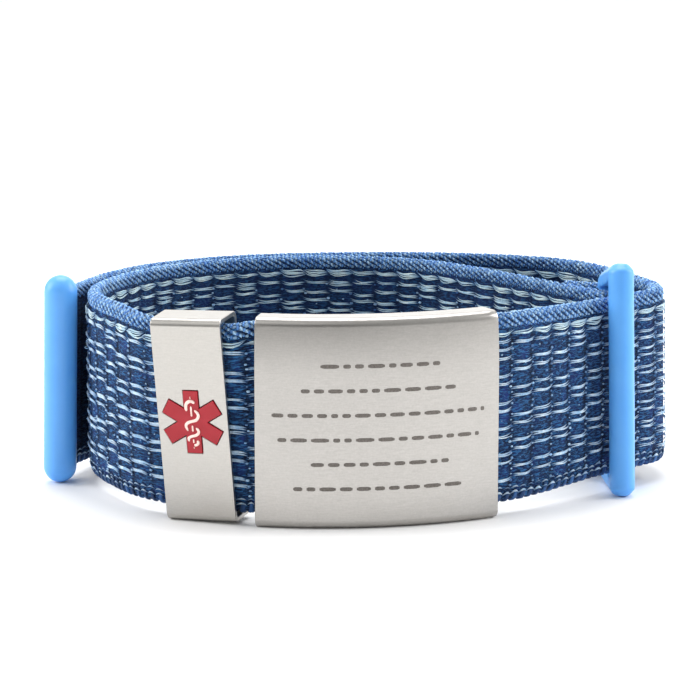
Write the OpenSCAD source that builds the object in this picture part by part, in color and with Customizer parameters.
// Medical alert bracelet, standing on the edge of its strap.
// One woven strap runs twice round the back: its fixed end is folded round the rear bar of a buckle ring,
// its free end passes through the ring, turns back and fastens on the outside of the first lap.
// X runs to the right, Y to the back, Z up. Lengths are in millimetres.

/* [Loop] */
// Width of the loop, between the middles of the strap
loop_w = 60.6; // [54:0.2:70]
// Depth of the loop, from the plate to the middle of the outer lap
loop_d = 44.4; // [38:0.2:54]

/* [Strap] */
// Width of the woven strap
strap_w = 19.9; // [16:0.1:24]
// Thickness of the strap between its edges
strap_t = 1.9; // [1.5:0.05:2.3]
// Height of the braided edge
selvedge_w = 2.2; // [1.5:0.1:3]
// Thickness of the braided edge
selvedge_t = 1.3; // [1:0.05:1.4]
// Gap between the two laps where they are fastened
lap_gap = 0.2; // [0.15:0.05:0.4]
// Length of the fixed end that is folded back past the ring
tail_len = 6.5; // [5:0.5:9]
// Length of the free end past the fastened stretch
tab_len = 10.2; // [8:0.2:13]
// Thickness of the free end inside its end bar
tip_t = 1.1; // [0.8:0.05:1.3]

/* [Buckle ring] */
// Diameter of the front bar
ring_bar_d = 2.75; // [2.2:0.05:3.2]
// Diameter of the rear bar, and width of the arms
ring_rear_d = 2; // [1.8:0.05:2.3]
// Height of the arms' section
ring_arm_h = 1.75; // [1.2:0.05:2]
// Radius of the ring's rear corners
ring_corner_r = 3.2; // [2.2:0.1:3.4]
// Slope of each arm: the ring stands flat on its lower arm, so its bars lean back by the same angle
ring_slope = 8; // [0:0.5:9]
// How much the ring draws in the strap's width
ring_squeeze = 1.2; // [0:0.1:1.4]

/* [End bar] */
// Diameter of the bar on the strap's free end
end_bar_d = 3.6; // [3.2:0.1:4.4]
// How much longer the bar is than the strap is wide
end_bar_over = 3; // [2.8:0.1:4]
// Depth of the slot that holds the strap's end
end_slot_d = 1.5; // [1:0.1:1.6]
// Lean of the bar, and of the strap's end, towards the loop
end_bar_lean = 1.4; // [0:0.2:3]

/* [Identity plate] */
// Width of the plate, measured along its bow
plate_w = 26; // [20:0.5:28]
// Radius of the plate's bowed face
plate_r = 36; // [32:0.5:44]
// Thickness of the plate's sheet
plate_sheet = 0.5; // [0.4:0.05:0.7]
// Length of the lips behind the strap
plate_lip = 3.6; // [2:0.2:6]
// Radius of the plate's folds, outside
plate_fold_r = 0.9; // [0.8:0.05:1.1]
// Play behind the strap in the plate, and twice the play behind it in the slide
back_play = 0.8; // [0.4:0.1:0.9]
// Gap under the strap's lower edge in the plate
foot_gap = 0.8; // [0.4:0.05:0.9]

/* [Star slide] */
// Width of the slide
slide_w = 7.7; // [7:0.1:9]
// Thickness of the slide's sheet
slide_sheet = 0.5; // [0.45:0.05:0.7]
// Length of the lips behind the strap
slide_lip = 6.5; // [4:0.5:9]
// Radius of the slide's folds, outside
slide_fold_r = 0.8; // [0.75:0.05:1]
// Roll of the slide on the strap
slide_roll = 2.5; // [0:0.5:6]
// Lean of the slide, and of the strap in it, towards the front
slide_lean = 5; // [0:0.5:7]
// Turn of the slide against the strap, seen from above
slide_turn = 6; // [0:0.5:8]
// Play in front of the strap in the slide
slide_play = 0.3; // [0:0.1:0.8]

/* [Star] */
// Height of the six-armed star
star_h = 6.6; // [5:0.1:6.8]
// Width of a star arm
star_arm_w = 1.62; // [1.3:0.02:1.8]
// Depth of the recess that holds the enamel
star_recess = 0.2; // [0.1:0.05:0.25]
// How far the enamel stands out of the face
star_proud = 0.1; // [0.05:0.05:0.2]
// Width of the staff on the star
staff_w = 0.3; // [0.24:0.02:0.36]
// Thickness of the staff and the snake
staff_t = 0.12; // [0.08:0.01:0.2]

/* [Hidden] */
// Gap between the strap's outer face and the sheets in front of it
face_gap = 0.2;
// Gap between a sheet's fold and the strap's edge
edge_gap = 0.15;
// Clearance round an inlaid or clamped piece
inlay_gap = 0.05;
// Gap between the strap and the ring's bars and arms
ring_gap = 0.2;
// Gap between the folded end and the ring's rear bar
fold_gap = 0.1;
// Facets of the round forms
round_fn = 48;
// Stations on each stretch of the strap's course
leg_steps = 8;
// Stations on the fold and under the plate
fold_steps = 8;
bow_steps = 8;

// Heights
seat_z = plate_sheet + foot_gap + strap_w / 2;
lap_step = strap_t + lap_gap;

// Course of the strap, seen from above. Each row is
// [share of the width from the middle, share of the depth, heading, share of the ring's lift, lean and squeeze].
// The first lap, from the ring along the back and round the left
LAP_ROWS = [
    [0.122, 0.838, 139, 0.1],
    [-0.068, 0.930, 176, 0],
    [-0.239, 0.899, 198, 0],
    [-0.386, 0.788, 221, 0],
    [-0.474, 0.619, 246, 0],
    [-0.507, 0.439, 273, 0],
    [-0.457, 0.248, 299, 0]
];
// The outer lap is fastened on these stretches of the first lap
JOINED_LEGS = [2, 3];
// The outer lap, from the ring round the right and along the back
TURN_ROWS = [
    [0.506, 0.530, 90, 0.9],
    [0.470, 0.671, 117, 0.6],
    [0.352, 0.893, 145, 0.2],
    [0.147, 0.980, 171, 0],
    [-0.051, 0.989, 184, 0]
];
// Middle of the whole outline, as shares of the width and the depth: the origin
MIDDLE = [-0.0396, 0.4835];
// Places of the ring's rear bar, the slide and the plate, as shares of the width and the depth
RING_AT = [0.417, 0.502];
SLIDE_AT = [-0.303, 0.048];
PLATE_AT = [-0.003, 0];
// Headings of the strap at these places, and of its free end
fold_heading = 134;
slide_heading = -26;
plate_heading = 9.2;
pass_heading = 43;
tab_heading = 248;
// Direction from the ring's front bar to its rear bar
arm_heading = 94;

// A heading, and the direction to its right, which is outwards on this loop
function along(a) = [cos(a), sin(a)];
function outward(a) = [sin(a), -cos(a)];
function place(row) = [(row.x - MIDDLE.x) * loop_w, (row.y - MIDDLE.y) * loop_d];

// Folded end and ring
ring_bar_r = ring_bar_d / 2;
ring_rear_r = ring_rear_d / 2;
fold_r = ring_rear_r + fold_gap + strap_t / 2;
rear_bar = place(RING_AT);
pass_rear = fold_r + strap_t + ring_gap;
pass_front = strap_t / 2 + ring_gap + ring_bar_r;
ring_pitch = (pass_rear + pass_front) / cos(arm_heading - 90 - pass_heading);
front_bar = rear_bar - ring_pitch * along(arm_heading);
pass_in = front_bar - pass_front * outward(pass_heading);
pass_out = rear_bar + pass_rear * outward(pass_heading);
ring_strap_w = strap_w - ring_squeeze;
bar_pitch = ring_pitch * cos(ring_slope);
rear_h = ring_strap_w + 2 * ring_gap + 2 * ring_arm_h;
front_h = rear_h + 2 * bar_pitch * tan(ring_slope);
bar_chamfer = ring_bar_d * 0.26;
ring_z = front_h / 2 * cos(ring_slope);
ring_lean = tan(ring_slope) * along(arm_heading);
// Height of the strap's middle where it rests on the ring's lower arm
ring_seat_z = ring_arm_h / cos(ring_slope) + ring_gap
    + ring_strap_w / 2 * cos(ring_slope) + selvedge_t / 2 * sin(ring_slope);

// Stations of the course:
// [x, y, heading, height of the middle, lean in x, lean in y, share of the thickness, share of the width]
function station(p, heading, share) =
    let (z = seat_z + share * (ring_seat_z - seat_z), lean = share * ring_lean)
    [p.x, p.y, heading, z, lean.x, lean.y, 1, 1 - share * ring_squeeze / strap_w];
function row_station(row) = station(place(row), row[2], row[3]);

// Stretch between two stations, without the second one
function leg(a, b, steps) =
    let (
        turn = b[2] - a[2] - 360 * round((b[2] - a[2]) / 360),
        p = [a.x, a.y],
        q = [b.x, b.y],
        pull = norm(q - p) / pow(cos(turn / 4), 2),
        u = pull * along(a[2]),
        v = pull * along(b[2])
    )
    [
        for (k = [0 : steps - 1])
        let (
            t = k / steps,
            s = t * t * (3 - 2 * t),
            c = p + s * (q - p) + t * (1 - t) * (1 - t) * u - t * t * (1 - t) * v,
            d = 6 * t * (1 - t) * (q - p) + (1 - t) * (1 - 3 * t) * u + t * (3 * t - 2) * v
        )
        [c.x, c.y, atan2(d.y, d.x), for (i = [3 : 7]) a[i] + s * (b[i] - a[i])]
    ];
function legs(rows, steps) = [for (k = [0 : len(rows) - 2]) leg(rows[k], rows[k + 1], steps)];
function joined(lists) = [for (list = lists) each list];
function pushed(s) =
    let (p = lap_step * outward(s[2]))
    [s.x + p.x, s.y + p.y, for (i = [2 : 7]) s[i]];

// The folded end: a short tail outside the first lap, then half a turn round the rear bar
tail_end = rear_bar - fold_r * outward(fold_heading) + tail_len * along(fold_heading);
tail_station = station(tail_end + lap_step * outward(fold_heading), fold_heading + 180, 1);
FOLD = [
    for (k = [0 : fold_steps])
    let (a = 180 * k / fold_steps)
    station(rear_bar + fold_r * outward(fold_heading - a), fold_heading + 180 - a, 1)
];

// Under the slide
slide_mid = place(SLIDE_AT);
// Room that the slide's turn needs in front of the strap and behind it
slide_swing = slide_w / 2 * tan(slide_turn);
slide_front = strap_t / 2 + face_gap + slide_swing + slide_play;
slide_depth = slide_front + strap_t / 2 + slide_swing + back_play / 2 + 2 * slide_sheet;
slide_h = strap_w + 2 * edge_gap + slide_w * sin(slide_roll) + 2 * slide_sheet;
slide_reach = slide_front + slide_sheet;
// Height of its middle, with its lower corner on the surface
slide_z = (slide_h / 2 * cos(slide_roll) + slide_w / 2 * sin(slide_roll)) * cos(slide_lean)
    + (slide_reach - slide_fold_r * 0.5) * sin(slide_lean);
function slide_station(side) =
    let (
        p = slide_mid + side * slide_w / 2 * along(slide_heading),
        lean = tan(slide_lean) * outward(slide_heading)
    )
    [p.x, p.y, slide_heading, slide_z, lean.x, lean.y, 1, 1];

// Under the plate
bow_r = plate_r - plate_sheet - face_gap - strap_t / 2;
bow_centre = place(PLATE_AT) - bow_r * outward(plate_heading);
plate_half = plate_w / plate_r * 90 / PI;
BOW = [
    for (k = [0 : bow_steps])
    let (a = plate_heading + plate_half * (2 * k / bow_steps - 1))
    station(bow_centre + bow_r * outward(a), a, 0)
];

// The whole course
LAP = [for (row = LAP_ROWS) row_station(row)];
LAP_LEGS = legs(LAP, leg_steps);
TURN = [for (row = TURN_ROWS) row_station(row)];
FASTENED = [for (k = JOINED_LEGS) for (s = LAP_LEGS[k]) pushed(s)];
tab_start = pushed(LAP[len(JOINED_LEGS) + JOINED_LEGS[0]]);
end_bar_r = end_bar_d / 2;
end_mid = [tab_start.x, tab_start.y] + tab_len * along(tab_heading);
tip = end_mid - (end_bar_r - end_slot_d + inlay_gap) * along(tab_heading);
neck = end_mid - (end_bar_r + inlay_gap) * along(tab_heading);
tip_share = tip_t / strap_t;
tab_lean = -tan(end_bar_lean) * outward(tab_heading);
function end_station(p) = [p.x, p.y, tab_heading, seat_z, tab_lean.x, tab_lean.y, tip_share, 1];
COURSE = [
    each leg(tail_station, FOLD[0], fold_steps),
    each FOLD,
    each leg(FOLD[fold_steps], LAP[0], leg_steps + 2),
    each joined(LAP_LEGS),
    each leg(LAP[len(LAP) - 1], slide_station(-1), leg_steps),
    slide_station(-1),
    each leg(slide_station(1), BOW[0], 2),
    each BOW,
    each leg(BOW[bow_steps], station(pass_in, pass_heading, 1), leg_steps),
    station(pass_in, pass_heading, 1),
    each leg(station(pass_out, pass_heading, 1), TURN[0], leg_steps),
    each joined(legs([each TURN, FASTENED[0]], leg_steps)),
    each FASTENED,
    each leg(tab_start, end_station(neck), leg_steps),
    end_station(neck),
    end_station(tip)
];

// Half of the strap's section: [offset towards the outside, height from the middle].
// The full thickness lies between the two thinner braided edges.
function half_section(side) =
    let (
        edge = strap_w / 2,
        root = edge - selvedge_w,
        skin = side * selvedge_t / 2,
        face = side * strap_t / 2,
        ease = selvedge_t / 4
    )
    [
        [skin / 2, -side * edge],
        [skin, -side * (edge - ease)],
        [skin, -side * (root + ease)],
        [face, -side * (root - ease)],
        [face, 0],
        [face, side * (root - ease)],
        [skin, side * (root + ease)],
        [skin, side * (edge - ease)],
        [skin / 2, side * edge]
    ];
SECTION = [each half_section(1), each half_section(-1)];

module sweep_strap() {
    n = len(SECTION);
    last = len(COURSE) - 1;
    points = [
        for (s = COURSE)
        let (
            normal = outward(s[2]),
            up = [s[4], s[5], 1] / norm([s[4], s[5], 1])
        )
        for (q = SECTION)
        [s.x, s.y, s[3]] + q.x * s[6] * [normal.x, normal.y, 0] + q.y * s[7] * up
    ];
    sides = [
        for (k = [0 : last - 1])
        for (j = [0 : n - 1])
        let (a = k * n + j, b = k * n + (j + 1) % n)
        each [[a, a + n, b + n], [a, b + n, b]]
    ];
    start = [[for (j = [0 : n - 1]) j]];
    finish = [[for (j = [n - 1 : -1 : 0]) last * n + j]];
    polyhedron(points = points, faces = [each sides, each start, each finish], convexity = 8);
}

// Rectangle with round corners, centred
module rounded(w, h, r) {
    square([w - 2 * r, h], center = true);
    square([w, h - 2 * r], center = true);
    for (x = [-1, 1], y = [-1, 1])
        translate([x * (w / 2 - r), y * (h / 2 - r)])
            circle(r, $fn = round_fn);
}

// Section of a folded sheet: X is the depth from its front face, Y the height from its middle
module channel_section(depth, height, sheet, fold, lip) {
    translate([depth / 2, 0])
        difference() {
            rounded(depth, height, fold);
            rounded(depth - 2 * sheet, height - 2 * sheet, fold - sheet);
            translate([depth / 2, 0])
                square([depth, height - 2 * lip], center = true);
        }
}

module strap() {
    color("#2B4F8A")
        sweep_strap();
}

// Upper half of the ring's outline: X from the front bar to the back, Y up from the middle
function arm_line(x) = front_h / 2 - x * tan(ring_slope);
module ring_outline() {
    back = bar_pitch + ring_rear_r * 1.02;
    corner = [back - ring_corner_r, arm_line(back - ring_corner_r) - ring_corner_r / cos(ring_slope)];
    touch = corner + ring_corner_r * [sin(ring_slope), cos(ring_slope)];
    polygon([[0, -1], [0, front_h / 2], touch, corner, [back, corner.y], [back, -1]]);
    translate(corner)
        circle(ring_corner_r, $fn = round_fn * 2);
}

// Arm with its rear corner, rounded along its outer edges
module ring_arm() {
    under = front_h / 2 - ring_arm_h / cos(ring_slope);
    drop = ring_pitch * 2 * tan(ring_slope);
    round_r = ring_arm_h * 0.45;
    arm_w = (ring_bar_d + ring_rear_d) / 2;
    arm_top = front_h - ring_arm_h * 0.03;
    intersection() {
        rotate([90, 0, 0])
            linear_extrude(2 * ring_rear_d, center = true)
                difference() {
                    ring_outline();
                    polygon([[-1, -2], [-1, under + tan(ring_slope)], [ring_pitch * 2, under - drop], [ring_pitch * 2, -2]]);
                }
        translate([0, 0, front_h / 2])
            rotate([0, ring_slope, 0])
                translate([-ring_bar_d, 0, -front_h / 2])
                    rotate([90, 0, 90])
                        linear_extrude(ring_pitch * 2)
                            rounded(arm_w, arm_top, round_r);
    }
}

module buckle_ring() {
    bar_h = front_h - 2 * (ring_bar_r - bar_chamfer) * tan(ring_slope);
    // The bars cross the strap's course at the height of its middle
    shift = (ring_seat_z - ring_z) / cos(ring_slope) * sin(ring_slope);
    color("#4A96F5")
        translate([front_bar.x, front_bar.y, ring_z])
            rotate([0, 0, arm_heading])
                translate([-shift, 0, 0])
                    rotate([0, ring_slope, 0]) {
                        for (side = [0, 1])
                            mirror([0, 0, side]) {
                                ring_arm();
                                translate([0, 0, bar_h / 2 - bar_chamfer])
                                    cylinder(
                                        h = bar_chamfer,
                                        r1 = ring_bar_r,
                                        r2 = ring_bar_r - bar_chamfer,
                                        $fn = round_fn
                                    );
                                intersection() {
                                    translate([bar_pitch, 0, -ring_gap])
                                        cylinder(h = front_h / 2, r = ring_rear_r, $fn = round_fn);
                                    rotate([90, 0, 0])
                                        linear_extrude(2 * ring_rear_d, center = true)
                                            ring_outline();
                                }
                            }
                        cylinder(h = bar_h - 2 * bar_chamfer, r = ring_bar_r, center = true, $fn = round_fn);
                    }
}

module end_bar() {
    // Heights along the bar, from the middle of the strap's end
    low = (end_bar_r - seat_z) / cos(end_bar_lean);
    high = low + strap_w + end_bar_over - end_bar_d;
    slot_t = tip_t + 2 * inlay_gap;
    slot_h = strap_w + 2 * inlay_gap;
    color("#4A96F5")
        translate([end_mid.x, end_mid.y, seat_z])
            rotate([0, 0, tab_heading])
                rotate([-end_bar_lean, 0, 0])
                    difference() {
                        union() {
                            translate([0, 0, low])
                                cylinder(h = high - low, r = end_bar_r, $fn = round_fn);
                            for (z = [low, high])
                                translate([0, 0, z])
                                    sphere(end_bar_r, $fn = round_fn);
                        }
                        translate([-end_bar_d, -slot_t / 2, -slot_h / 2])
                            cube([end_bar_d - end_bar_r + end_slot_d, slot_t, slot_h]);
                    }
}

module plate() {
    plate_h = foot_gap + strap_w + edge_gap + 2 * plate_sheet;
    depth = strap_t + face_gap + back_play + 2 * plate_sheet;
    color("#C9C6C2")
        translate([bow_centre.x, bow_centre.y, plate_h / 2])
            rotate([0, 0, plate_heading - plate_half - 90])
                rotate_extrude(angle = 2 * plate_half, $fn = round_fn * 4)
                    translate([plate_r, 0])
                        mirror([1, 0])
                            channel_section(depth, plate_h, plate_sheet, plate_fold_r, plate_lip);
}

// Puts a piece on the slide's face: X along the slide, Y into it, Z up, from the middle of the face
module on_slide() {
    translate([slide_mid.x, slide_mid.y, slide_z])
        rotate([0, 0, slide_heading + slide_turn])
            rotate([slide_lean, 0, 0])
                translate([0, -slide_reach, 0])
                    rotate([0, -slide_roll, 0])
                        children();
}

// Six-armed star lying in the XY plane
module star_shape(height, arm) {
    for (a = [0, 60, 120])
        rotate(a)
            square([arm, height], center = true);
}

// Stands a flat shape on the slide's face, from one distance in front of it to another
module on_face(from, to) {
    translate([0, -from, 0])
        rotate([90, 0, 0])
            linear_extrude(to - from)
                children();
}

module slide() {
    color("#D0CCC6")
        on_slide()
            difference() {
                translate([-slide_w / 2, 0, 0])
                    rotate([90, 0, 90])
                        linear_extrude(slide_w)
                            channel_section(slide_depth, slide_h, slide_sheet, slide_fold_r, slide_lip);
                on_face(-star_recess, star_proud)
                    star_shape(star_h + 2 * inlay_gap, star_arm_w + 2 * inlay_gap);
            }
}

module star() {
    color("#C23B47")
        on_slide()
            on_face(inlay_gap - star_recess, star_proud)
                star_shape(star_h, star_arm_w);
}

// Bends of the snake over the staff, one row of bends for each stretch in sight:
// [to the right, up] as shares of the star's height
SNAKE = [
    [[0.059, 0.311], [-0.014, 0.338], [-0.080, 0.285], [-0.083, 0.182]],
    [[0.055, 0.192], [0.112, 0.100], [0.073, 0.038], [-0.070, -0.008], [-0.112, -0.085], [-0.076, -0.138]],
    [[0.059, -0.092], [0.094, -0.162], [0.045, -0.208], [-0.079, -0.255], [-0.076, -0.308]],
    [[0.071, -0.292], [0.047, -0.362], [0, -0.370]]
];
module emblem() {
    color("#E4E4E2")
        on_slide()
            on_face(star_proud + inlay_gap, star_proud + inlay_gap + staff_t) {
                square([staff_w * 0.7, star_h * 0.82], center = true);
                for (side = [-1, 1])
                    translate([0, side * star_h * 0.41])
                        circle(staff_w * 0.6, $fn = round_fn);
                for (stretch = SNAKE, k = [0 : len(stretch) - 1]) {
                    bend = stretch[k] * star_h;
                    translate(bend)
                        circle(staff_w / 2, $fn = round_fn);
                    if (k > 0) {
                        step = stretch[k - 1] * star_h - bend;
                        translate(bend + step / 2)
                            rotate(atan2(step.y, step.x))
                                square([norm(step), staff_w * 0.9], center = true);
                    }
                }
            }
}

strap();
buckle_ring();
end_bar();
plate();
slide();
star();
emblem();
